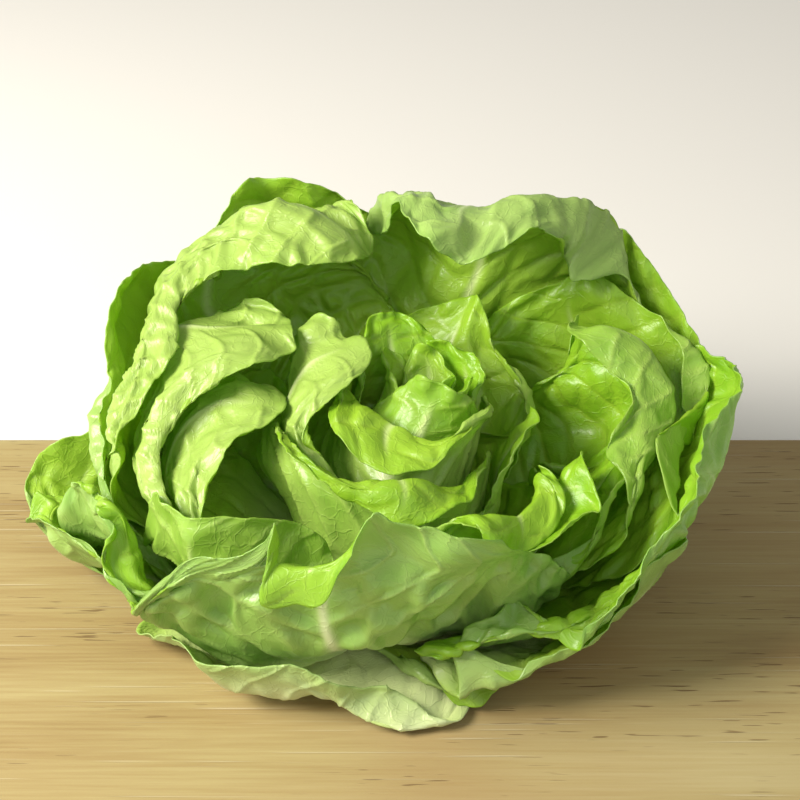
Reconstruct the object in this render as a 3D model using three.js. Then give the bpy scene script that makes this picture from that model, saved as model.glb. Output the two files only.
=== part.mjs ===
// A butterhead lettuce standing on a wooden chopping board.
// Millimetres, +Z up. The origin is the middle of the board's underside; the board's long side lies along X.
// The head is built leaf by leaf round a short stem. Every leaf is one thin closed sheet on a lattice of
// points, and the leaves are nested from the heart outwards, so that each one lies clear of those inside it.
import * as THREE from "three";

// ---- Driving dimensions -------------------------------------------------------------------------

const BOARD = { length: 450, depth: 300, thick: 20, corner: 14, edge: 2.5 };
const HEAD_SPOT = new THREE.Vector2(0, 40); // where the stem stands, from the middle of the board
const STEM = { foot: 15, top: 7, height: 41 }; // radii of the cut foot and of the top, and the height
const LEAF_THICK = 0.8;
const CLEAR = 0.3; // gap left between neighbouring solids
const NEST_GAP = 0.55; // air between two nested leaves
const FIRST_JOIN = 3; // height on the stem of the lowest leaf's base
const JOIN_STEP = 1.1; // rise along the stem from one leaf's base to the next
const BASE_HALF = 11; // half of a leaf's width where it clasps the stem
const LEAN = [12, 34]; // how far the inner leaves are drawn over, in x and y, 100 mm above the board
const LEAN_FROM = 40; // height at which the head's axis starts to lean

// ---- The leaves, outermost first ----------------------------------------------------------------
// turn: the way the midrib points, in degrees anticlockwise from +X. rib: the midrib's path as radius and
// height, from the stem out to the tip. half: half of the blade's width. open: 0 wraps round the head,
// 1 is flat, below 0 is cupped tighter. lip: how far the margin flares outwards (below 0, inwards).
// wave: height, number and phase of the margin's ruffles. skew: how much higher the left side stands.
// lean: how far the leaf is drawn over, in x and y, 100 mm above the board.
// flap: a part of the margin that is folded over outwards, as the middle and half width of the folded
// part (u), where the fold starts (v), and the angle it is folded through.
// lattice: cells across and along the leaf, where it differs from its ring's.

const OUTER = [
  {
    turn: 163, half: 28, open: 0.4, lip: 3, skew: 4, wave: [3, 3, 0.6],
    rib: [[60, 8], [102, 24], [130, 46], [145, 58]],
  },
  {
    turn: -134, half: 74, open: 0, lip: 3, skew: 0, wave: [3, 4, 1.1],
    rib: [[36, 5], [52, 8], [70, 20], [80, 40]],
  },
  {
    turn: -70, half: 28, open: 0.5, lip: 0, skew: 0, wave: [2, 3, 2.2],
    rib: [[34, 8], [52, 14], [64, 14], [75, 3]],
  },
  {
    turn: -22, half: 60, open: 0.1, lip: 4, skew: 0, wave: [3, 4, 0.2],
    rib: [[42, 11], [60, 22], [76, 40], [84, 62]],
  },
  {
    turn: 176, half: 32, open: 0.5, lip: 2, skew: 0, wave: [5, 4, 1.4],
    rib: [[58, 12], [102, 25], [132, 37], [158, 36]],
  },
  {
    turn: 50, half: 58, open: 0.1, lip: 4, skew: 0, wave: [4, 4, 1.7],
    rib: [[46, 14], [76, 40], [94, 78], [104, 110]],
  },
  {
    turn: -4, half: 106, open: -0.15, lip: 7, skew: 6, wave: [3, 6, 0.9],
    rib: [[48, 14], [80, 34], [102, 68], [118, 104]],
    lattice: [13, 12],
  },
  {
    turn: -108, half: 94, open: 0.05, lip: 4, skew: 18, wave: [3, 5, 1.9],
    rib: [[40, 13], [60, 30], [75, 62], [84, 114]],
    flap: [-0.06, 0.26, 0.82, 165],
    lattice: [15, 13],
  },
  {
    turn: -170, half: 43, open: 0.1, lip: 4, skew: 0, wave: [6, 6, 2.28],
    rib: [[54, 16], [86, 30], [110, 46], [124, 68], [134, 62]],
  },
  {
    turn: 154, half: 82, open: 0, lip: 5, skew: -22, wave: [4, 6, 0.4],
    rib: [[50, 18], [86, 44], [110, 78], [122, 110]],
  },
  {
    turn: 112, half: 66, open: 0.1, lip: 5, skew: 0, wave: [5, 6, 1.2],
    rib: [[46, 24], [80, 58], [102, 98], [108, 132]],
  },
  {
    turn: 72, half: 58, open: 0.1, lip: 0, skew: 0, wave: [4, 5, 0.3],
    rib: [[44, 26], [74, 64], [94, 106], [98, 138], [82, 152], [54, 142]],
  },
];

// The wrappers' and the heart's ribs are measured from the head's own leaning axis.
const WRAPPERS = [
  {
    turn: 36, half: 54, open: 0.1, lip: 3, skew: 0, wave: [3, 5, 0.3],
    rib: [[36, 30], [56, 56], [68, 84], [72, 106]],
  },
  {
    turn: 12, half: 46, open: 0.2, lip: 0, skew: 0, wave: [3, 5, 2.1],
    rib: [[36, 30], [62, 54], [82, 80], [84, 96], [66, 100]],
  },
  {
    turn: -8, half: 44, open: 0.1, lip: 3, skew: 0, wave: [3, 5, 1.5],
    rib: [[36, 28], [62, 42], [80, 58], [88, 76], [100, 80]],
  },
  {
    turn: 146, half: 64, open: 0, lip: 0, skew: 0, wave: [4, 6, 0.2],
    rib: [[40, 36], [68, 68], [84, 102], [84, 128], [64, 134], [44, 122]],
  },
  {
    turn: -38, half: 58, open: 0, lip: 4, skew: 0, wave: [3, 5, 2.6],
    rib: [[36, 28], [54, 44], [66, 62], [73, 78], [84, 86]],
  },
  {
    turn: -139, half: 43, open: 0.1, lip: 2, skew: 0, wave: [3, 5, 0.8],
    rib: [[34, 28], [56, 42], [70, 60], [76, 82]],
  },
  {
    turn: 176, half: 58, open: 0.1, lip: 0, skew: 0, wave: [2, 5, 1.3],
    rib: [[40, 33], [74, 58], [98, 84], [100, 102], [80, 112], [56, 112]],
  },
  {
    turn: -168, half: 52, open: 0.1, lip: 0, skew: 0, wave: [2, 5, 2.2],
    rib: [[40, 30], [78, 48], [102, 66], [106, 82], [86, 94], [60, 92]],
  },
  {
    turn: -63, half: 46, open: 0, lip: 0, skew: 0, wave: [2, 4, 0.4],
    rib: [[34, 30], [50, 46], [62, 66], [70, 82], [82, 84], [92, 76]],
  },
  {
    turn: 72, half: 50, open: 0, lip: 2, skew: 0, wave: [2, 5, 0.5],
    rib: [[28, 38], [42, 62], [50, 88], [52, 106]],
  },
  {
    turn: -16, half: 44, open: 0, lip: 2, skew: 0, wave: [1, 5, 1.6],
    rib: [[28, 36], [38, 52], [44, 68], [50, 84]],
  },
  {
    turn: -100, half: 58, open: 0, lip: 0, skew: 0, wave: [1, 4, 2.8],
    rib: [[28, 36], [36, 54], [38, 72], [46, 84], [60, 88], [72, 80]],
  },
  {
    turn: -172, half: 54, open: 0, lip: 0, skew: 0, wave: [2, 5, 1.1],
    rib: [[30, 38], [46, 60], [60, 84], [60, 102], [48, 112], [32, 110]],
  },
  {
    turn: -105, half: 54, open: 0, lip: 0, skew: 0, wave: [1, 4, 0.1],
    rib: [[20, 40], [24, 60], [24, 82], [32, 95], [46, 98], [58, 88]],
  },
].map((leaf) => ({ lean: LEAN, ...leaf }));

// The heart leaves follow the plant's own spiral, each smaller and steeper than the last.
const GOLDEN_TURN = 137.5;
const HEART_LEAVES = 9;
const heartLeaf = (k) => {
  const inward = k / (HEART_LEAVES - 1);
  const belly = THREE.MathUtils.lerp(25, 6, inward);
  const top = THREE.MathUtils.lerp(106, 92, inward);
  return {
    turn: 130 + GOLDEN_TURN * k,
    rib: [[belly * 0.8, 46], [belly, 64], [belly, top - 16], [belly * 1.05, top]],
    half: THREE.MathUtils.lerp(46, 15, inward),
    open: 0,
    lip: 0,
    wave: [1, 5, k * 1.9],
    skew: 0,
    lean: LEAN,
  };
};
const HEARTS = Array.from({ length: HEART_LEAVES }, (_, k) => heartLeaf(k));

const RINGS = [
  { leaves: OUTER, name: "outer_leaf", lattice: [10, 11], colour: 0x86b32f },
  { leaves: WRAPPERS, name: "wrapper_leaf", lattice: [8, 9], colour: 0x9cc544 },
  { leaves: HEARTS, name: "heart_leaf", lattice: [8, 6], colour: 0xb4d452 },
];

// ---- One leaf as a surface ----------------------------------------------------------------------

const { smoothstep, degToRad, lerp, clamp } = THREE.MathUtils;

function stemRadius(z) {
  return lerp(STEM.foot, STEM.top, clamp(z / STEM.height, 0, 1));
}

function drawnOver(lean, height) {
  const share = Math.max(0, height - LEAN_FROM) / (100 - LEAN_FROM);
  return [lean[0] * share, lean[1] * share];
}

// Half of the leaf's width at v, from the stalk (v = 0) to the tip (v = 1).
function halfWidth(leaf, v) {
  const spread = lerp(leaf.baseHalf, leaf.half, smoothstep(v, 0, 0.55));
  return spread * (1 - 0.34 * smoothstep(v, 0.6, 1));
}

// The smooth cup of the leaf, before its margin is ruffled. u runs across from -1 to 1.
function cupPoint(leaf, u, v) {
  const shoulderDrop = 0.27 * u * u * smoothstep(v, 0.3, 1);
  const onRib = leaf.ribCurve.getPointAt(Math.max(0, v - shoulderDrop));
  const across = u * halfWidth(leaf, v);
  const bend = (1 - leaf.open) / Math.max(onRib.x, leaf.tightest);
  const flat = Math.abs(bend) < 1e-6;
  const out = onRib.x - (flat ? 0 : (1 - Math.cos(bend * across)) / bend);
  const side = flat ? across : Math.sin(bend * across) / bend;
  const height = onRib.y + leaf.skew * u * smoothstep(v, 0.2, 1);
  const [leanX, leanY] = drawnOver(leaf.lean, height);
  const turn = degToRad(leaf.turn);
  return new THREE.Vector3(
    out * Math.cos(turn) - side * Math.sin(turn) + leanX,
    out * Math.sin(turn) + side * Math.cos(turn) + leanY,
    height,
  );
}

// The direction up the leaf and the direction out of the head, at (u, v).
function directions(leaf, u, v) {
  const step = 0.01;
  const across = cupPoint(leaf, u + step, v).sub(cupPoint(leaf, u - step, v));
  const along = cupPoint(leaf, u, Math.min(1, v + step)).sub(cupPoint(leaf, u, Math.max(0, v - step)));
  return { along: along.normalize(), outward: across.cross(along).normalize() };
}

// Rolls the part of the leaf beyond the fold over an imaginary rod, outwards.
function foldedPoint(leaf, u, v) {
  const plain = cupPoint(leaf, u, v);
  if (!leaf.flap) return plain;
  const [middle, wide, start, angle] = leaf.flap;
  const share = 1 - smoothstep(Math.abs(u - middle), 0.35 * wide, wide);
  if (v <= start || share === 0) return plain;
  const rod = 5;
  const crease = cupPoint(leaf, u, start);
  const { along, outward } = directions(leaf, u, start);
  const length = plain.distanceTo(crease);
  const rolled = Math.min(length / rod, degToRad(angle) * share);
  const straight = length - rod * rolled;
  crease.addScaledVector(along, rod * Math.sin(rolled) + straight * Math.cos(rolled));
  crease.addScaledVector(outward, rod * (1 - Math.cos(rolled)) + straight * Math.sin(rolled));
  return plain.lerp(crease, smoothstep(share, 0, 0.3));
}

// How far the margin stands off the cup: a flare and a train of ruffles that die out towards the rib.
function marginLift(leaf, u, v) {
  const nearSide = Math.abs(u) ** 2.6;
  const nearTip = smoothstep(v, 0.5, 1);
  const nearMargin = (1 - (1 - nearSide) * (1 - nearTip)) * smoothstep(v, 0.15, 0.6);
  const round = Math.atan2(u, (v - 0.5) * 1.6);
  const [height, count, phase] = leaf.wave;
  const ruffle = Math.sin(count * round + phase) + 0.35 * Math.sin(2.3 * count * round + 1.7 * phase);
  return nearMargin * (leaf.lip * nearMargin + height * ruffle);
}

// A gentle unevenness that the whole head shares, as leaves that grew pressed together do.
function pressed(point, v) {
  const { x, y, z } = point;
  const broad = 4 * smoothstep(v, 0.1, 0.6);
  const tight = 2 * smoothstep(v, 0.4, 0.9);
  point.x += broad * Math.sin(y / 13 + z / 19 + 0.7) + tight * Math.sin(y / 6.1 - z / 7.3);
  point.y += broad * Math.sin(x / 14 - z / 17 + 2.1) + tight * Math.sin(x / 6.7 + z / 7.9 + 1.3);
  point.z += broad * Math.sin(x / 17 + y / 15 + 4.4) + tight * Math.sin(x / 7.1 - y / 6.3 + 2.6);
  return point;
}

function leafPoint(leaf, u, v) {
  const { outward } = directions(leaf, u, v);
  return pressed(foldedPoint(leaf, u, v).addScaledVector(outward, marginLift(leaf, u, v)), v);
}

// ---- A lattice of points and the sheet made from it -----------------------------------------------

// rows[j][i] is the point at row j from the stalk and column i across. The rows lie closer near the tip.
function lattice(leaf, across, along) {
  return Array.from({ length: along + 1 }, (_, j) =>
    Array.from({ length: across + 1 }, (_, i) => leafPoint(leaf, (2 * i) / across - 1, (j / along) ** 0.8)),
  );
}

// Unit normals of a lattice, pointing out of the head.
function latticeNormals(rows) {
  const last = rows.length - 1;
  return rows.map((row, j) =>
    row.map((_, i) => {
      const across = row[Math.min(row.length - 1, i + 1)].clone().sub(row[Math.max(0, i - 1)]);
      const along = rows[Math.min(last, j + 1)][i].clone().sub(rows[Math.max(0, j - 1)][i]);
      return across.cross(along).normalize();
    }),
  );
}

function offsetLattice(rows, distance) {
  const normals = latticeNormals(rows);
  return rows.map((row, j) => row.map((p, i) => p.clone().addScaledVector(normals[j][i], distance)));
}

// The two triangles of each cell, as [row, column] corners, wound to face out of the head.
function cellTriangles(j, i) {
  return [
    [[j, i], [j, i + 1], [j + 1, i + 1]],
    [[j, i], [j + 1, i + 1], [j + 1, i]],
  ];
}

// Two sheets and the rim that joins them: one closed solid.
function sheetGeometry(rows, thick) {
  const along = rows.length - 1;
  const across = rows[0].length - 1;
  const outside = offsetLattice(rows, thick / 2);
  const inside = offsetLattice(rows, -thick / 2);
  const corners = [];
  const face = (a, b, c) => corners.push(a, b, c);
  for (let j = 0; j < along; j++) {
    for (let i = 0; i < across; i++) {
      for (const [a, b, c] of cellTriangles(j, i)) {
        face(outside[a[0]][a[1]], outside[b[0]][b[1]], outside[c[0]][c[1]]);
        face(inside[a[0]][a[1]], inside[c[0]][c[1]], inside[b[0]][b[1]]);
      }
    }
  }
  const rim = [];
  for (let i = 0; i < across; i++) rim.push([0, i]);
  for (let j = 0; j < along; j++) rim.push([j, across]);
  for (let i = across; i > 0; i--) rim.push([along, i]);
  for (let j = along; j > 0; j--) rim.push([j, 0]);
  rim.forEach(([j, i], k) => {
    const [nextJ, nextI] = rim[(k + 1) % rim.length];
    face(outside[j][i], inside[j][i], inside[nextJ][nextI]);
    face(outside[j][i], inside[nextJ][nextI], outside[nextJ][nextI]);
  });
  return new THREE.BufferGeometry().setFromPoints(corners);
}

// ---- Nesting --------------------------------------------------------------------------------------

// The point on the head's axis that a leaf point closes round: level with the middle of the head for the
// low points, and a little below the point itself for the high ones.
function spinePoint(point) {
  const height = clamp(0.8 * point.z, 56, 100);
  return new THREE.Vector3(...drawnOver(LEAN, height), height);
}

// The ray from the axis out through a point, and how far along it the point is.
function outwardRay(point) {
  const origin = spinePoint(point);
  const away = point.clone().sub(origin);
  return { ray: new THREE.Ray(origin, away.clone().normalize()), distance: away.length() };
}

// The distance from the axis at which a leaf clears all the leaves already placed, along the given ray.
function clearDistance(ray, placed) {
  const hit = new THREE.Vector3();
  const normal = new THREE.Vector3();
  let needed = 0;
  for (const sheet of placed) {
    if (!ray.intersectsBox(sheet.box)) continue;
    for (const triangle of sheet.triangles) {
      if (!ray.intersectTriangle(triangle.a, triangle.b, triangle.c, false, hit)) continue;
      triangle.getNormal(normal);
      const square = Math.max(0.45, Math.abs(normal.dot(ray.direction)));
      needed = Math.max(needed, hit.distanceTo(ray.origin) + (NEST_GAP + LEAF_THICK / 2) / square);
    }
  }
  return needed;
}

// The point of the sheet that lies a part of the way across (s) and along (t) a cell.
function cellPoint(rows, j, i, s, t) {
  const point = new THREE.Vector3();
  point.addScaledVector(rows[j][i], 1 - Math.max(s, t));
  point.addScaledVector(s > t ? rows[j][i + 1] : rows[j + 1][i], Math.abs(s - t));
  point.addScaledVector(rows[j + 1][i + 1], Math.min(s, t));
  return point;
}

// How far each lattice point has to move out for the cells round it to clear the placed leaves. Each leaf is
// tried against the other both ways: points of this one along their rays, and corners of the placed ones.
function pushes(rows, placed) {
  const samples = 4;
  const push = rows.map((row) => row.map(() => 0));
  const raise = (corners, amount) => {
    for (const [row, column] of corners) push[row][column] = Math.max(push[row][column], amount);
  };
  const box = new THREE.Box3().setFromPoints(rows.flat());
  const placedCorners = placed
    .flatMap((sheet) => sheet.points)
    .map(outwardRay)
    .filter(({ ray }) => ray.intersectsBox(box));
  const hit = new THREE.Vector3();
  for (let j = 0; j < rows.length - 1; j++) {
    for (let i = 0; i < rows[0].length - 1; i++) {
      const cell = [[j, i], [j, i + 1], [j + 1, i], [j + 1, i + 1]];
      for (let a = 0; a <= samples; a++) {
        for (let b = 0; b <= samples; b++) {
          const { ray, distance } = outwardRay(cellPoint(rows, j, i, a / samples, b / samples));
          raise(cell, clearDistance(ray, placed) - distance);
        }
      }
      const cellBox = new THREE.Box3().setFromPoints(cell.map(([row, column]) => rows[row][column]));
      for (const { ray, distance } of placedCorners) {
        if (!ray.intersectsBox(cellBox)) continue;
        for (const triangle of cellTriangles(j, i)) {
          const [a, b, c] = triangle.map(([row, column]) => rows[row][column]);
          if (!ray.intersectTriangle(a, b, c, false, hit)) continue;
          raise(triangle, distance + 1.5 * NEST_GAP + LEAF_THICK / 2 - hit.distanceTo(ray.origin));
        }
      }
    }
  }
  return push;
}

// Spreads each push smoothly over its neighbours, so that the sheet drapes and doesn't dent.
function spread(push) {
  let now = push.map((row) => [...row]);
  for (let pass = 0; pass < 3; pass++) {
    now = now.map((row, j) =>
      row.map((value, i) => {
        const left = row[Math.max(0, i - 1)];
        const right = row[Math.min(row.length - 1, i + 1)];
        const below = j > 0 ? now[j - 1][i] : 0;
        const above = now[Math.min(now.length - 1, j + 1)][i];
        return Math.max(push[j][i], (left + right + below + above) / 4);
      }),
    );
  }
  return now;
}

function nest(rows, placed, floor) {
  for (let round = 0; round < 4; round++) {
    const push = spread(pushes(rows, placed));
    rows.forEach((row, j) =>
      row.forEach((point, i) => {
        const away = point.clone().sub(spinePoint(point)).normalize();
        const room = away.z < 0 ? Math.max(0, (point.z - floor) / -away.z) : Infinity;
        point.addScaledVector(away, Math.min(push[j][i], room));
        point.z = Math.max(point.z, floor);
      }),
    );
  }
}

function asObstacle(rows) {
  const sheet = offsetLattice(rows, LEAF_THICK / 2);
  const triangles = [];
  for (let j = 0; j < sheet.length - 1; j++) {
    for (let i = 0; i < sheet[0].length - 1; i++) {
      for (const corners of cellTriangles(j, i)) {
        triangles.push(new THREE.Triangle(...corners.map(([row, column]) => sheet[row][column])));
      }
    }
  }
  return { triangles, points: sheet.flat(), box: new THREE.Box3().setFromPoints(sheet.flat()) };
}

// ---- The pieces -----------------------------------------------------------------------------------

function material(colour, roughness) {
  return new THREE.MeshStandardMaterial({ color: colour, roughness, metalness: 0, side: THREE.DoubleSide });
}

function makeBoard() {
  const { length, depth, thick, corner, edge } = BOARD;
  const x = length / 2 - edge;
  const y = depth / 2 - edge;
  const outline = new THREE.Shape();
  outline.moveTo(-x + corner, -y);
  outline.lineTo(x - corner, -y);
  outline.absarc(x - corner, -y + corner, corner, -Math.PI / 2, 0);
  outline.lineTo(x, y - corner);
  outline.absarc(x - corner, y - corner, corner, 0, Math.PI / 2);
  outline.lineTo(-x + corner, y);
  outline.absarc(-x + corner, y - corner, corner, Math.PI / 2, Math.PI);
  outline.lineTo(-x, -y + corner);
  outline.absarc(-x + corner, -y + corner, corner, Math.PI, 1.5 * Math.PI);
  const geometry = new THREE.ExtrudeGeometry(outline, {
    depth: thick - 2 * edge,
    bevelSize: edge,
    bevelThickness: edge,
    bevelSegments: 3,
    curveSegments: 6,
  });
  const board = new THREE.Mesh(geometry, material(0xc8ad72, 0.6));
  board.name = "board";
  board.position.z = edge;
  return board;
}

function makeStem() {
  const { foot, height } = STEM;
  const profile = [[0, CLEAR], [foot - 1.5, CLEAR], [foot, CLEAR + 1.5]];
  for (let z = 8; z <= height; z += 6) profile.push([stemRadius(z), z]);
  profile.push([stemRadius(height) * 0.6, height + 1.5], [0, height + 2.5]);
  const points = profile.map(([r, z]) => new THREE.Vector2(r, z));
  const geometry = new THREE.LatheGeometry(points, 20).rotateX(Math.PI / 2);
  const stem = new THREE.Mesh(geometry, material(0xe3e4b4, 0.5));
  stem.name = "stem";
  return stem;
}

// Gives each leaf its place on the stem, then nests them all from the heart outwards.
function makeLeaves() {
  const all = RINGS.flatMap((ring) =>
    ring.leaves.map((leaf, k) => ({
      lean: [0, 0],
      ...leaf,
      ring,
      name: `${ring.name}_${String(k + 1).padStart(2, "0")}`,
    })),
  );
  const placed = [];
  const meshes = [];
  all.forEach((leaf, rank) => {
    const join = FIRST_JOIN + JOIN_STEP * rank;
    const start = stemRadius(join) + CLEAR + LEAF_THICK;
    const stations = [[start, join], ...leaf.rib].map(([r, z]) => new THREE.Vector2(r, z));
    leaf.ribCurve = new THREE.SplineCurve(stations);
    leaf.baseHalf = Math.min(BASE_HALF, 0.8 * start);
    leaf.tightest = Math.min(start, 20);
    leaf.floor = rank === 0 ? CLEAR + LEAF_THICK : join - 0.5;
  });
  for (const leaf of [...all].reverse()) {
    const rows = lattice(leaf, ...(leaf.lattice ?? leaf.ring.lattice));
    nest(rows, placed, leaf.floor);
    placed.push(asObstacle(rows));
    const mesh = new THREE.Mesh(sheetGeometry(rows, LEAF_THICK), material(leaf.ring.colour, 0.45));
    mesh.name = leaf.name;
    meshes.push(mesh);
  }
  return meshes.reverse();
}

const head = new THREE.Group();
head.position.set(HEAD_SPOT.x, HEAD_SPOT.y, BOARD.thick);
head.add(makeStem(), ...makeLeaves());

const lettuceOnBoard = new THREE.Group();
lettuceOnBoard.add(makeBoard(), head);

export default lettuceOnBoard;
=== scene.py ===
# A butterhead lettuce standing on a wooden chopping board, in metres, +Z up.
import math

import bmesh
import bpy
import numpy as np
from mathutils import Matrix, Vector
from mathutils.bvhtree import BVHTree


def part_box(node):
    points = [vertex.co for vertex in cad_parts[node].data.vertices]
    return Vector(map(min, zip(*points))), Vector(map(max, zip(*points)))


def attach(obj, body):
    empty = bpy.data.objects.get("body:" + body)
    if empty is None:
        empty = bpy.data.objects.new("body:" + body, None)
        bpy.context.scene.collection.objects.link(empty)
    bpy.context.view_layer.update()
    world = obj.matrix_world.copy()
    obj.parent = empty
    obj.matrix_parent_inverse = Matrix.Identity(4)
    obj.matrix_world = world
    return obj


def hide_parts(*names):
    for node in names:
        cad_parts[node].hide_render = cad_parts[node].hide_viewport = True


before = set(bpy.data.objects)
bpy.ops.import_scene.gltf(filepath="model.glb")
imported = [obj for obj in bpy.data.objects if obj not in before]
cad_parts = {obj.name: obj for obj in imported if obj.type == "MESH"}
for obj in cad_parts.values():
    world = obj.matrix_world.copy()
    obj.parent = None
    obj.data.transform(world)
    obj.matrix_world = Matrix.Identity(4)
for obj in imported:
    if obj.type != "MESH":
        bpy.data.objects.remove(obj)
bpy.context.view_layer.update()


# ---- The board --------------------------------------------------------------------------------------
# One slab of honey-coloured hardwood, sawn with the grain along its length, its corners rounded and its
# edges eased with sandpaper. It is oiled and dry again, and its face is crossed by fine knife cuts.

class Shade:
    """A value or colour in a material. Arithmetic on it adds Math nodes to the material's tree."""

    def __init__(self, tree, socket=None):
        self.tree = tree
        self.socket = socket

    def node(self, kind, inputs=None, output=0, stops=None, **settings):
        """Adds any node: its settings first, then the value or the link of each named or numbered socket."""
        made = self.tree.nodes.new(kind)
        for name, value in settings.items():
            setattr(made, name, value)
        if stops:
            while len(made.color_ramp.elements) < len(stops):
                made.color_ramp.elements.new(0.5)
            for element, (position, colour) in zip(made.color_ramp.elements, stops):
                element.position = position
                element.color = (*colour, 1) if isinstance(colour, tuple) else (colour, colour, colour, 1)
        for name, value in (inputs or {}).items():
            if isinstance(value, Shade):
                self.tree.links.new(value.socket, made.inputs[name])
            else:
                made.inputs[name].default_value = value
        return Shade(self.tree, made.outputs[output] if len(made.outputs) else None)

    def _math(self, operation, first, second):
        return self.node("ShaderNodeMath", {0: first, 1: second}, operation=operation)

    def __add__(self, other):
        return self._math("ADD", self, other)

    def __radd__(self, other):
        return self._math("ADD", other, self)

    def __sub__(self, other):
        return self._math("SUBTRACT", self, other)

    def __rsub__(self, other):
        return self._math("SUBTRACT", other, self)

    def __mul__(self, other):
        return self._math("MULTIPLY", self, other)

    def __rmul__(self, other):
        return self._math("MULTIPLY", other, self)

    def fade(self, low, high):
        """0 below low, 1 above high, smooth between them."""
        ends = {"Value": self, "From Min": low, "From Max": high}
        return self.node("ShaderNodeMapRange", ends, interpolation_type="SMOOTHSTEP")

    def blend(self, first, second):
        """The colour first where this value is 0 and second where it is 1."""
        colours = {0: self, 6: first, 7: second}
        return self.node("ShaderNodeMix", colours, output=2, data_type="RGBA")


def new_material(name):
    """An empty material, its tree, and where the finished surface goes."""
    material = bpy.data.materials.new(name)
    material.use_nodes = True
    material.node_tree.nodes.clear()
    end = material.node_tree.nodes.new("ShaderNodeOutputMaterial")
    return material, Shade(material.node_tree), end


def select_edges(piece, wanted):
    """Goes into edit mode with just those edges of the piece selected whose two ends pass the test."""
    bpy.ops.object.select_all(action="DESELECT")
    bpy.context.view_layer.objects.active = piece
    piece.select_set(True)
    bpy.ops.object.mode_set(mode="EDIT")
    bpy.ops.mesh.select_mode(type="EDGE")
    bpy.ops.mesh.select_all(action="DESELECT")
    bpy.ops.object.mode_set(mode="OBJECT")
    for edge in piece.data.edges:
        edge.select = wanted(*(piece.data.vertices[k].co for k in edge.vertices))
    bpy.ops.object.mode_set(mode="EDIT")


CORNER_RADIUS = 0.0165
EASING = 0.0025

board_low, board_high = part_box("board")
board_size = board_high - board_low
bpy.ops.object.select_all(action="DESELECT")
bpy.ops.mesh.primitive_cube_add(size=1, location=(board_low + board_high) / 2)
board = bpy.context.object
board.name = "chopping_board"
bpy.ops.transform.resize(value=board_size)
bpy.ops.object.transform_apply(location=True, rotation=True, scale=True)
select_edges(board, lambda a, b: abs(a.z - b.z) > 0.5 * board_size.z)
bpy.ops.mesh.bevel(offset=CORNER_RADIUS, segments=10, affect="EDGES")
bpy.ops.object.mode_set(mode="OBJECT")
select_edges(board, lambda a, b: abs(a.z - b.z) < 0.1 * board_size.z)
bpy.ops.mesh.bevel(offset=EASING, segments=4, affect="EDGES")
bpy.ops.object.mode_set(mode="OBJECT")
bpy.ops.object.shade_smooth_by_angle(angle=math.radians(25))


def wood_material():
    """Planks, bands and fibres along X, with open pores, a warm blush and pale knife cuts at five angles."""
    material, tree, end = new_material("oiled_hardwood")
    place = tree.node("ShaderNodeTexCoord", output=3)

    def stretched(scale, turn=0.0, shift=(0, 0, 0)):
        turned = {"Vector": place, "Location": shift, "Rotation": (0, 0, turn), "Scale": scale}
        return tree.node("ShaderNodeMapping", turned)

    def noise(vector, detail=3.0, rough=0.5, distortion=0.0):
        wanted = {"Vector": vector, "Scale": 1.0, "Detail": detail, "Roughness": rough,
                  "Distortion": distortion}
        return tree.node("ShaderNodeTexNoise", wanted)

    planks = noise(stretched((1.6, 11, 4)), 2, 0.5, 0.3)
    bands = noise(stretched((3.2, 46, 12)), 4, 0.55, 0.6)
    fibres = noise(stretched((16, 620, 90)), 3, 0.6)
    flecks = noise(stretched((55, 900, 60), shift=(3, 7, 0)), 1, 0.4)
    pores = (flecks.fade(0.67, 0.74)) * noise(stretched((7, 26, 8)), 1, 0.5).fade(0.4, 0.62)
    blush = noise(stretched((5, 9, 5), shift=(1.3, 4.1, 0)), 2, 0.5).fade(0.45, 0.75)

    cuts = None
    for number, (turn, gap) in enumerate(((0.62, 210), (0.95, 260), (-0.52, 240), (0.2, 180), (1.9, 250))):
        line = noise(stretched((5.5, gap * 2.6, 1), turn, (number * 2.7, number * 5.1, 0)), 0, 0)
        place_of_cut = noise(stretched((13, 17, 9), turn, (number * 3.3, 1.7, 0)), 1, 0.5)
        cut = line.fade(0.74, 0.79) * place_of_cut.fade(0.5, 0.62)
        cuts = cut if cuts is None else cuts + cut

    colour = tree.node("ShaderNodeValToRGB", {"Fac": planks * 0.45 + bands * 0.4 + fibres * 0.25},
                       stops=[(0.36, (0.235, 0.150, 0.058)), (0.50, (0.330, 0.240, 0.098)),
                              (0.62, (0.395, 0.315, 0.140)), (0.76, (0.450, 0.375, 0.190))])
    colour = (blush * 0.5).blend(colour, (0.30, 0.165, 0.07, 1))
    colour = (pores * 0.75).blend(colour, (0.13, 0.068, 0.025, 1))
    colour = (cuts * 0.34).blend(colour, (0.60, 0.53, 0.36, 1))
    rough = 0.56 + fibres * 0.16 + cuts * 0.1
    relief = fibres * 0.35 - pores * 0.9 - cuts * 0.7 + bands * 0.4
    bump = tree.node("ShaderNodeBump", {"Height": relief, "Strength": 0.6, "Distance": 0.0005})
    wood = tree.node("ShaderNodeBsdfPrincipled", {"Base Color": colour, "Roughness": rough, "Normal": bump,
                                                  "Specular IOR Level": 0.3})
    tree.tree.links.new(wood.socket, end.inputs["Surface"])
    return material


board.data.materials.append(wood_material())
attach(board, "root")
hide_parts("board")


# ---- The stem ---------------------------------------------------------------------------------------
# The short, fleshy stalk that the leaves grow from, cut across at its foot, where the milk has dried to
# a faint tan. Old leaf scars ring it.

TAPER = 0.52  # how much narrower the stem is at its top
CROWN = 0.86  # the share of its height above which it closes over

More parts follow.
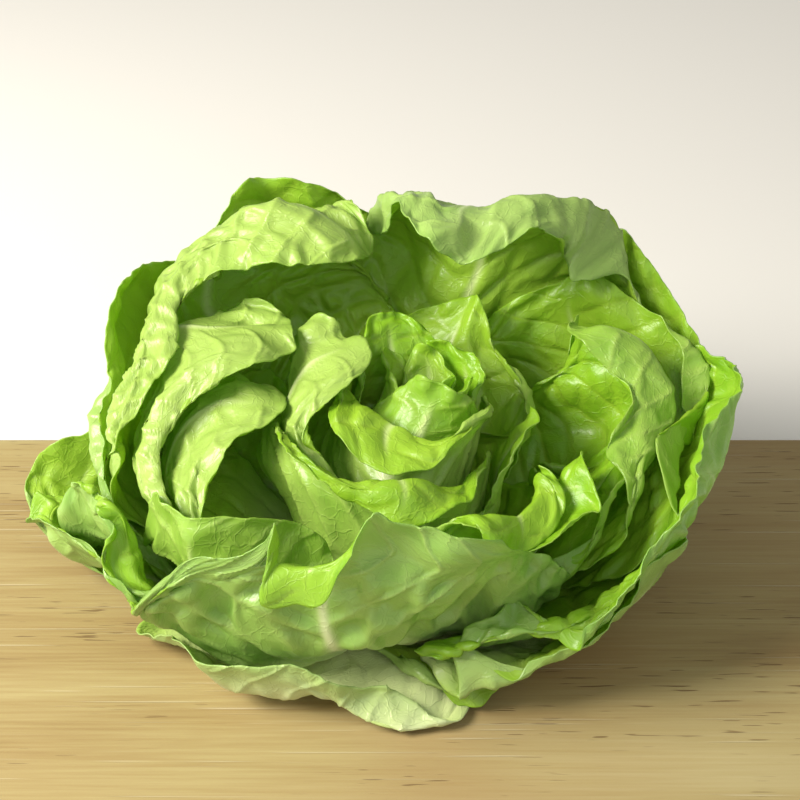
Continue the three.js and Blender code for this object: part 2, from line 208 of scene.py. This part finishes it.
stem_low, stem_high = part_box("stem")
stem_height = stem_high.z - stem_low.z
stem_foot = (stem_high.x - stem_low.x) / 2
stem_middle = (stem_low + stem_high) / 2
bpy.ops.object.select_all(action="DESELECT")
bpy.ops.mesh.primitive_cylinder_add(vertices=40, radius=stem_foot, depth=stem_height, location=stem_middle)
stem = bpy.context.object
stem.name = "lettuce_stem"
bpy.ops.object.transform_apply(location=True, rotation=True, scale=True)
select_edges(stem, lambda a, b: abs(a.z - b.z) > 0.5 * stem_height)
bpy.ops.mesh.subdivide(number_cuts=14)
bpy.ops.object.mode_set(mode="OBJECT")
for vertex in stem.data.vertices:
    rise = (vertex.co.z - stem_low.z) / stem_height
    turn = math.atan2(vertex.co.y - stem_middle.y, vertex.co.x - stem_middle.x)
    scars = 0.035 * math.sin(2.4 * turn + 26 * rise) - 0.03
    width = (1 - TAPER * rise) * (1 + scars) * (1 - 0.7 * max(0, rise - CROWN) / 0.14)
    if rise < 0.01:
        width = 0.93
    vertex.co.x = stem_middle.x + (vertex.co.x - stem_middle.x) * width
    vertex.co.y = stem_middle.y + (vertex.co.y - stem_middle.y) * width
rounding = stem.modifiers.new("rounding", "BEVEL")
rounding.width = 0.0008
rounding.segments = 2
bpy.ops.object.modifier_apply(modifier=rounding.name)
bpy.ops.object.shade_smooth_by_angle(angle=math.radians(35))


def stem_material():
    """Pale flesh, mottled, with a dried tan foot."""
    material, tree, end = new_material("cut_stalk")
    place = tree.node("ShaderNodeTexCoord", output=3)
    mottle = tree.node("ShaderNodeTexNoise", {"Vector": place, "Scale": 160.0, "Detail": 3.0})
    height = tree.node("ShaderNodeSeparateXYZ", {0: place}, output=2)
    dried = 1 - height.fade(0.0205, 0.0225)
    colour = mottle.fade(0.3, 0.75).blend((0.70, 0.72, 0.40, 1), (0.80, 0.80, 0.55, 1))
    colour = (dried * 0.7).blend(colour, (0.55, 0.40, 0.20, 1))
    bump = tree.node("ShaderNodeBump", {"Height": mottle, "Strength": 0.4, "Distance": 0.0006})
    flesh = tree.node("ShaderNodeBsdfPrincipled", {"Base Color": colour, "Roughness": 0.42, "Normal": bump,
                                                   "Subsurface Weight": 0.15, "Subsurface Scale": 0.004})
    tree.tree.links.new(flesh.socket, end.inputs["Surface"])
    return material


stem.data.materials.append(stem_material())
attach(stem, "root")
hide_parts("stem")


# ---- The leaves -------------------------------------------------------------------------------------
# Thirty-five thin leaves, grown one inside the other. A pale, fleshy midrib runs up each blade and sends
# out side veins. The veins stand out on the back of the leaf, the flesh between them is puffed up towards
# the heart, and the free margins are ruffled. The back is paler and waxier than the bright inner face.

MM = 0.001
RIM = 0.85 * MM  # the frame's leaves have a rim this wide at most, and no other edge as short


def leaf_middle(node):
    """The middle of a frame leaf as rows of points, from the stalk to the tip, each row running across.

    A frame leaf is two sheets of cells, two triangles to a cell, joined by a narrow rim. The walk starts
    at the corner by the stem that two triangles share and peels off the rows one by one.
    """
    shell = bmesh.new()
    shell.from_mesh(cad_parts[node].data)
    bmesh.ops.remove_doubles(shell, verts=shell.verts, dist=0.001 * MM)
    points = np.array([vertex.co for vertex in shell.verts])
    beside = {}
    shared = {}
    for face in shell.faces:
        if min(edge.calc_length() for edge in face.edges) < RIM:
            continue
        a, b, c = (vertex.index for vertex in face.verts)
        beside[a, b], beside[b, c], beside[c, a] = c, a, b
        for corner in (a, b, c):
            shared[corner] = shared.get(corner, 0) + 1
    shell.free()
    onward = {a: b for a, b in beside if (b, a) not in beside}
    backward = {b: a for a, b in onward.items()}
    to_stem = np.linalg.norm(points - np.array(stem_middle), axis=1)
    starts = sorted((k for k in onward if shared[k] == 2), key=lambda k: to_stem[k])[:2]

    def walk(start, following):
        row = [start, following[start]]
        while shared[row[-1]] != 1:
            row.append(following[row[-1]])
        return row

    sheets = []
    for start in starts:
        ways = [(walk(start, onward), True), (walk(start, backward), False)]
        row, outside = min(ways, key=lambda way: np.linalg.norm(points[way[0][-1]] - points[start]))
        rows = []
        while row:
            rows.append(row)
            pairs = list(zip(row, row[1:])) if outside else list(zip(row[1:], row))
            above = [beside.get(pair) for pair in pairs]
            if None in above:
                break
            first = (row[0], above[0]) if outside else (above[0], row[0])
            row = [beside[first], *above]
        sheets.append(points[np.array(rows)])
    return (sheets[0] + sheets[1]) / 2


def spline_weights(given, wanted):
    """Weights that carry `given` evenly spaced values to `wanted` ones on a smooth curve through them."""
    place = np.linspace(0, given - 1, wanted)
    before = np.minimum(place.astype(int), given - 2)
    t = place - before
    weights = np.zeros((wanted, given + 2))
    curve = (-0.5 * t + t**2 - 0.5 * t**3, 1 - 2.5 * t**2 + 1.5 * t**3,
             0.5 * t + 2 * t**2 - 1.5 * t**3, -0.5 * t**2 + 0.5 * t**3)
    for k, part in enumerate(curve):
        weights[np.arange(wanted), before + k] += part
    weights[:, 1] += 2 * weights[:, 0]
    weights[:, 2] -= weights[:, 0]
    weights[:, -2] += 2 * weights[:, -1]
    weights[:, -3] -= weights[:, -1]
    return weights[:, 1:-1]


def resampled(grid, rows, columns):
    """A grid of points or values on a finer or coarser grid."""
    up = spline_weights(grid.shape[0], rows)
    over = spline_weights(grid.shape[1], columns)
    return np.einsum("ab,bc...,dc->ad...", up, grid, over)


def directions(points):
    """Unit vectors across and along a grid of points, and its normals, which point out of the head."""
    across = np.gradient(points, axis=1)
    along = np.gradient(points, axis=0)
    normal = np.cross(across, along)
    return [v / np.linalg.norm(v, axis=2, keepdims=True) for v in (across, along, normal)]


def step(values, low, high):
    """0 below low, 1 above high, smooth between them."""
    t = np.clip((values - low) / (high - low), 0, 1)
    return t * t * (3 - 2 * t)


def lumps(x, y, seed):
    """Smooth random lumps from -1 to 1, about one to each unit of x and y."""
    table = np.random.default_rng(seed).uniform(-1, 1, (64, 64))
    i, j = np.floor(x).astype(int), np.floor(y).astype(int)
    s, t = step(x - i, 0, 1), step(y - j, 0, 1)
    low = table[i % 64, j % 64] * (1 - s) + table[(i + 1) % 64, j % 64] * s
    high = table[i % 64, (j + 1) % 64] * (1 - s) + table[(i + 1) % 64, (j + 1) % 64] * s
    return 1.6 * (low * (1 - t) + high * t)


def pillows(x, y, seed, jitter):
    """How far each point is from the nearest seam of an irregular patchwork: 0 on it, about 1 inside."""
    table = np.random.default_rng(seed).uniform(-jitter, jitter, (64, 64, 2))
    i, j = np.floor(x).astype(int), np.floor(y).astype(int)
    reach = []
    for di in (-1, 0, 1):
        for dj in (-1, 0, 1):
            spot = table[(i + di) % 64, (j + dj) % 64]
            reach.append(np.hypot(i + di + 0.5 + spot[..., 0] - x, j + dj + 0.5 + spot[..., 1] - y))
    reach = np.sort(reach, axis=0)
    return reach[1] - reach[0]


LEAVES = sorted(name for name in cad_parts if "_leaf_" in name)
middles = {name: leaf_middle(name) for name in LEAVES}
sketches = {name: resampled(m, 3 * m.shape[0] - 2, 3 * m.shape[1] - 2) for name, m in middles.items()}


def all_surfaces():
    """Every leaf and the board's face as one tree, to measure how much room a leaf has round it."""
    corners, faces = [], []
    for sheet in sketches.values():
        start, columns = len(corners), sheet.shape[1]
        corners += sheet.reshape(-1, 3).tolist()
        for j in range(sheet.shape[0] - 1):
            for i in range(columns - 1):
                k = start + j * columns + i
                faces.append((k, k + 1, k + columns + 1, k + columns))
    start = len(corners)
    corners += [(x, y, board_high.z) for x, y in ((-0.3, -0.2), (0.3, -0.2), (0.3, 0.2), (-0.3, 0.2))]
    faces.append((start, start + 1, start + 2, start + 3))
    return BVHTree.FromPolygons(corners, faces)


surfaces = all_surfaces()
FAR = 9.0  # mm; room beyond this makes no difference
SKIP = 0.3  # mm; a ray starts this far off, past the leaf's own surface


def room(sheet, side):
    """Free space in mm beside each point of a leaf, on its outer (1) or inner (-1) side."""
    normal = directions(sheet)[2] * side
    found = np.full(sheet.shape[:2], FAR)
    for spot in np.ndindex(*found.shape):
        way = Vector(normal[spot])
        distance = surfaces.ray_cast(Vector(sheet[spot]) + way * SKIP * MM, way, FAR * MM)[3]
        if distance is not None:
            found[spot] = distance / MM
    padded = np.pad(found, 1, mode="edge")
    around = [padded[a:a + found.shape[0], b:b + found.shape[1]] for a in range(3) for b in range(3)]
    return 0.5 * np.min(around, axis=0) + 0.5 * np.mean(around, axis=0)


# What differs between the three rings. fine: spacing of the mesh; puff: depth of the pillows between the
# veins; vein: spacing of the side veins; frill: depth of the margin's ruffles, and their size; all in mm.
RINGS = {
    "outer": dict(fine=1.25, puff=1.9, vein=19, frill=1.5, frill_size=12, slot="leaf_outer"),
    "wrapper": dict(fine=1.2, puff=1.3, vein=17, frill=1.2, frill_size=11, slot="leaf_inner"),
    "heart": dict(fine=1.0, puff=0.8, vein=12, frill=2.4, frill_size=6.5, slot="leaf_heart"),
}


# Leaves that differ from their ring. cream: how far up the blade the stalk's cream reaches; calm: how
# much flatter the flesh is near the tip; fold: height in mm of the long folds between the veins; tint: 0
# for the palest, most yellow leaf and 1 for the deepest green; the rest as above.
SPECIAL = {
    "outer_leaf_01": dict(cream=0.55, tint=0.0, frill=1.0),
    "outer_leaf_02": dict(cream=1.05, tint=0.0, frill=0.8, puff=1.0),
    "outer_leaf_03": dict(cream=0.5, tint=0.1, frill=0.6, puff=0.8),
    "outer_leaf_04": dict(cream=0.7, tint=0.3, frill=0.8),
    "outer_leaf_05": dict(tint=0.4, frill=1.6),
    "outer_leaf_07": dict(tint=0.75, frill=1.0, puff=2.4),
    "outer_leaf_08": dict(tint=0.6, frill=0.3, puff=3.6, vein=20, cream=0.42, calm=0.95, fold=5.0),
    "outer_leaf_09": dict(tint=0.5, frill=2.6, frill_size=9, puff=2.4),
    "outer_leaf_10": dict(tint=0.35),
    "outer_leaf_12": dict(tint=0.2),
    "wrapper_leaf_04": dict(tint=0.15, puff=2.2),
    "wrapper_leaf_07": dict(tint=0.05, frill=0.7),
    "wrapper_leaf_08": dict(tint=0.05, frill=0.7),
    "wrapper_leaf_12": dict(tint=0.5, frill=0.5),
    "wrapper_leaf_13": dict(tint=0.1, frill=0.7),
    "wrapper_leaf_14": dict(tint=0.35, frill=0.5),
}


SHEET = 0.5  # mm; thickness of a visible leaf
SPARE = 0.32  # mm; left free on each side between two close leaves, half a sheet and a little more
RELIEF = (0.04, 4.5)  # mm; the least and the most that relief may rise


def leaf_shape(name, seed):
    """A leaf's fine grid of points, its own coordinates in mm, and the masks its materials read."""
    tint = float(np.random.default_rng(seed).uniform(0.1, 0.8))
    ring = {"cream": 0.34, "calm": 0.4, "fold": 1.0, "tint": tint,
            **RINGS[name.split("_")[0]], **SPECIAL.get(name, {})}
    middle = middles[name]
    sketch = sketches[name]
    spans = np.linalg.norm(np.diff(sketch, axis=1), axis=2).sum(axis=1) / MM
    length = np.linalg.norm(np.diff(sketch, axis=0), axis=2).sum(axis=0).mean() / MM
    rows = int(length / ring["fine"]) + 1
    columns = 2 * int(np.percentile(spans, 80) / ring["fine"] / 2) + 1
    points = resampled(middle, rows, columns)
    across, along, normal = directions(points)

    y = np.cumsum(np.linalg.norm(np.diff(points[:, columns // 2], axis=0), axis=1)) / MM
    y = np.concatenate([[0], y])[:, None] * np.ones((1, columns))
    x = np.cumsum(np.linalg.norm(np.diff(points, axis=1), axis=2), axis=1) / MM
    x = np.concatenate([np.zeros((rows, 1)), x], axis=1)
    x -= x[:, [columns // 2]]
    half = np.where(x < 0, -x[:, [0]], x[:, [-1]])
    length = y[-1, 0]
    edge = np.minimum(half - abs(x), length - y)
    up = y / length
    right = x > 0

    wander = 2.5 * lumps(x / 24, y / 24, seed)
    vein_row = (y + wander - 0.5 * abs(x) - 0.006 * x**2) / ring["vein"] + 0.5 * right
    to_vein = abs(vein_row - np.round(vein_row)) * ring["vein"]
    beside_rib = 1 - np.exp(-((x / 5) ** 2))
    side_vein = np.exp(-((to_vein / 0.9) ** 2)) * (1 - step(abs(x) / half, 0.7, 0.98)) * beside_rib
    seam = pillows(vein_row, (abs(x) + wander) / ring["vein"] + 31 * right, seed + 1, 0.27)
    crease = 1 - step(seam, 0, 0.55)
    small_seam = pillows(x / 5.2 + 9, y / 5.2 + wander / 6, seed + 2, 0.4)
    rib_width = 1.6 + 5.5 * (1 - up) ** 1.6
    rib = np.exp(-((x / rib_width) ** 2)) * (1 - step(up, 0.8, 1))

    puffed = beside_rib * step(up, 0.12, 0.4) * (1 - ring["calm"] * step(up, 0.68, 0.86))
    lift = ring["puff"] * puffed * (crease - 0.42 + 0.3 * lumps(x / 11, y / 11, seed + 3))
    lift += 0.14 * puffed * (0.45 - step(small_seam, 0, 0.5))
    lift += 0.8 * side_vein + rib * (0.5 + 1.8 * (1 - up))
    lift += ring["fold"] * puffed * np.maximum(0, lumps(vein_row * 0.9, abs(x) / 26 + 7 * right, seed + 9))
    broad = lumps(x / 21, y / 19, seed + 4)
    lift += 1.2 * step(up, 0.1, 0.4) * (1 - 0.8 * ring["calm"] * step(up, 0.7, 0.9)) * broad
    margin = np.exp(-((edge / ring["frill_size"]) ** 2)) * step(up, 0.2, 0.5)
    size = ring["frill_size"]
    frill = lumps(x / size, y / size, seed + 5) + 0.3 * lumps(x / size * 2.3, y / size * 2.3, seed + 6)
    lift += ring["frill"] * margin * frill

    outward, inward = (np.clip(0.5 * resampled(room(sketch, side), rows, columns) - SPARE, *RELIEF)
                       for side in (1, -1))
    lift = np.where(lift > 0, outward * np.tanh(lift / outward), inward * np.tanh(lift / inward))
    points = points + normal * (lift * MM)[..., None]

    notch = margin * (1.0 * lumps(x / 9, y / 9, seed + 7) + 0.25 * lumps(x / 3, y / 3, seed + 8))
    sideways = np.sign(x) * step(up, 0.1, 0.3) * np.exp(-(((half - abs(x)) / 5) ** 2))
    tipwards = np.exp(-(((length - y) / 5) ** 2))
    points = points + ((sideways * notch)[..., None] * across + (tipwards * notch)[..., None] * along) * MM

    fresh = step(up, 0.3 * ring["cream"], 1.3 * ring["cream"]) * (1 - rib * (1 - 0.6 * up))
    veins = np.clip(side_vein + 0.4 * crease * puffed + 0.5 * rib, 0, 1)
    rim = np.exp(-edge / 4.5)
    masks = np.stack([fresh, veins, rim, np.full_like(rim, ring["tint"])], axis=2)
    return points, np.stack([x, y], axis=2) * MM, masks


def leaf_piece(name, seed, backs, faces):
    """Makes one leaf: a grid laid on the leaf's shape and thickened, with a finish on each side."""
    points, flat, masks = leaf_shape(name, seed)
    rows, columns = points.shape[:2]
    bpy.ops.object.select_all(action="DESELECT")
    bpy.ops.mesh.primitive_grid_add(x_subdivisions=columns - 1, y_subdivisions=rows - 1, size=1)
    leaf = bpy.context.object
    leaf.name = name + "_blade"
    mesh = leaf.data
    corner = np.empty(len(mesh.vertices) * 3)
    mesh.vertices.foreach_get("co", corner)
    corner = corner.reshape(-1, 3)
    i = np.rint((corner[:, 0] + 0.5) * (columns - 1)).astype(int)
    j = np.rint((corner[:, 1] + 0.5) * (rows - 1)).astype(int)
    mesh.vertices.foreach_set("co", points[j, i].ravel())
    loop = np.empty(len(mesh.loops), dtype=int)
    mesh.loops.foreach_get("vertex_index", loop)
    mesh.uv_layers[0].data.foreach_set("uv", flat[j, i][loop].ravel())
    mesh.color_attributes.new("growth", "FLOAT_COLOR", "POINT")
    mesh.color_attributes["growth"].data.foreach_set("color", masks[j, i].ravel())
    mesh.update()
    mesh.materials.append(backs)
    mesh.materials.append(faces)
    flesh = leaf.modifiers.new("flesh", "SOLIDIFY")
    flesh.thickness = SHEET * MM
    flesh.offset = 0
    flesh.material_offset = 1
    bpy.ops.object.modifier_apply(modifier=flesh.name)
    bpy.ops.object.shade_smooth()
    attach(leaf, "root")
    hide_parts(name)
    return leaf


def leaf_material(name, light, blade, deep, cream, through, rough, glow):
    """Living leaf: cream at the stalk, then the blade's greens, with paler veins and a bright thin rim."""
    material, tree, end = new_material(name)
    growth = tree.node("ShaderNodeVertexColor", layer_name="growth")
    own = Shade(tree.tree, growth.socket.node.outputs["Alpha"])
    split = tree.node("ShaderNodeSeparateColor", {0: growth}).socket.node
    fresh, veins, rim = (Shade(tree.tree, split.outputs[k]) for k in range(3))
    flat = tree.node("ShaderNodeUVMap", uv_map="UVMap")

    def noise(scale, detail):
        return tree.node("ShaderNodeTexNoise", {"Vector": flat, "Scale": scale, "Detail": detail})

    patchy = noise(38.0, 2.0)
    grainy = noise(900.0, 3.0)
    waver = tree.node("ShaderNodeTexNoise", {"Vector": flat, "Scale": 160.0, "Detail": 1.0}, output=1)
    bent = tree.node("ShaderNodeMix", {0: 0.006, 4: flat, 5: waver}, output=1, data_type="VECTOR")
    mesh_of_veins = tree.node("ShaderNodeTexVoronoi", {"Vector": bent, "Scale": 240.0},
                              feature="DISTANCE_TO_EDGE")
    net = 1 - mesh_of_veins.fade(0.0, 0.09)
    wide_net = 1 - tree.node("ShaderNodeTexVoronoi", {"Vector": bent, "Scale": 95.0},
                             feature="DISTANCE_TO_EDGE").fade(0.0, 0.05)
    tone = (patchy * 0.7 + own * 0.9 - 0.35).fade(0.0, 1.0)
    colour = tone.blend((*light, 1), (*blade, 1))
    colour = (patchy.fade(0.5, 0.8) * own * 0.7).blend(colour, (*deep, 1))
    colour = (rim * 0.45).blend(colour, (*blade, 1))
    colour = (veins * 0.6 + wide_net * 0.24 + net * 0.1).blend(colour, (*light, 1))
    colour = fresh.fade(0.05, 0.95).blend((*cream, 1), colour)
    relief = veins * 0.6 + wide_net * 0.5 + net * 0.28 + grainy * 0.22
    bump = tree.node("ShaderNodeBump", {"Height": relief, "Strength": 0.55, "Distance": 0.0005})
    skin = tree.node("ShaderNodeBsdfPrincipled",
                     {"Base Color": colour, "Roughness": rough + patchy * 0.16 - veins * 0.06,
                      "Normal": bump, "Specular IOR Level": 0.5, "Coat Weight": 0.3, "Coat Roughness": 0.22})
    glowing = tree.node("ShaderNodeBsdfTranslucent", {"Color": (*through, 1)})
    thin = glow * (0.35 + fresh * 0.65)
    whole = tree.node("ShaderNodeMixShader", {0: thin, 1: skin, 2: glowing})
    tree.tree.links.new(whole.socket, end.inputs["Surface"])
    return material


FINISHES = {
    "outer": (leaf_material("outer_leaf_back", (0.45, 0.63, 0.17), (0.26, 0.50, 0.07), (0.09, 0.29, 0.04),
                            (0.80, 0.84, 0.50), (0.50, 0.74, 0.08), 0.28, 0.30),
              leaf_material("outer_leaf_face", (0.42, 0.64, 0.06), (0.25, 0.52, 0.012), (0.09, 0.32, 0.008),
                            (0.74, 0.82, 0.40), (0.48, 0.76, 0.05), 0.36, 0.30)),
    "wrapper": (leaf_material("inner_leaf_back", (0.49, 0.67, 0.145), (0.31, 0.54, 0.05), (0.12, 0.34, 0.02),
                              (0.82, 0.87, 0.50), (0.58, 0.82, 0.10), 0.32, 0.34),
                leaf_material("inner_leaf_face", (0.42, 0.64, 0.05), (0.25, 0.52, 0.01), (0.10, 0.32, 0.006),
                              (0.74, 0.82, 0.40), (0.54, 0.82, 0.06), 0.36, 0.34)),
    "heart": (leaf_material("heart_leaf_back", (0.44, 0.64, 0.10), (0.27, 0.52, 0.03), (0.11, 0.34, 0.01),
                            (0.80, 0.86, 0.44), (0.60, 0.84, 0.08), 0.34, 0.36),
              leaf_material("heart_leaf_face", (0.42, 0.64, 0.06), (0.25, 0.52, 0.01), (0.10, 0.32, 0.006),
                            (0.74, 0.82, 0.40), (0.58, 0.84, 0.06), 0.36, 0.36)),
}

for number, leaf_name in enumerate(LEAVES):
    leaf_piece(leaf_name, 100 + 10 * number, *FINISHES[leaf_name.split("_")[0]])


# ---- The studio -------------------------------------------------------------------------------------
# A plain pale floor, one large soft lamp to the left and a little in front, and a faint even light.

bpy.ops.object.select_all(action="DESELECT")
bpy.ops.mesh.primitive_plane_add(size=6, location=(0, 0, -0.0002))
floor = bpy.context.object
floor.name = "floor"
floor_material, floor_tree, floor_end = new_material("pale_floor")
matt = floor_tree.node("ShaderNodeBsdfPrincipled", {"Base Color": (0.78, 0.76, 0.72, 1), "Roughness": 0.8})
floor_tree.tree.links.new(matt.socket, floor_end.inputs["Surface"])
floor.data.materials.append(floor_material)


def soft_lamp(name, spot, aim, size, power, colour):
    """A square area lamp at a spot, turned towards its aim."""
    lamp = bpy.data.lights.new(name, "AREA")
    lamp.size = size
    lamp.energy = power
    lamp.color = colour
    holder = bpy.data.objects.new(name, lamp)
    bpy.context.scene.collection.objects.link(holder)
    holder.location = spot
    holder.rotation_euler = (Vector(aim) - Vector(spot)).to_track_quat("-Z", "Y").to_euler()


head_middle = (0, 0.04, 0.08)
soft_lamp("key", (-1.0, -0.25, 0.95), head_middle, 0.6, 34, (1.0, 0.955, 0.86))
soft_lamp("fill", (0.5, -1.1, 1.2), head_middle, 1.2, 4, (0.93, 0.97, 1.0))
world = bpy.data.worlds.new("even_light")
world.use_nodes = True
world.node_tree.nodes["Background"].inputs["Color"].default_value = (1.0, 0.99, 0.95, 1)
world.node_tree.nodes["Background"].inputs["Strength"].default_value = 0.4
bpy.context.scene.world = world
bpy.context.scene.view_settings.view_transform = "Standard"

LOOKING_DOWN = 37  # degrees below level

lens = bpy.data.cameras.new("camera")
lens.lens = 75
camera = bpy.data.objects.new("camera", lens)
bpy.context.scene.collection.objects.link(camera)
camera.location = (0, -0.507, 0.539)
camera.rotation_euler = (math.radians(90 - LOOKING_DOWN), 0, 0)
bpy.context.scene.camera = camera
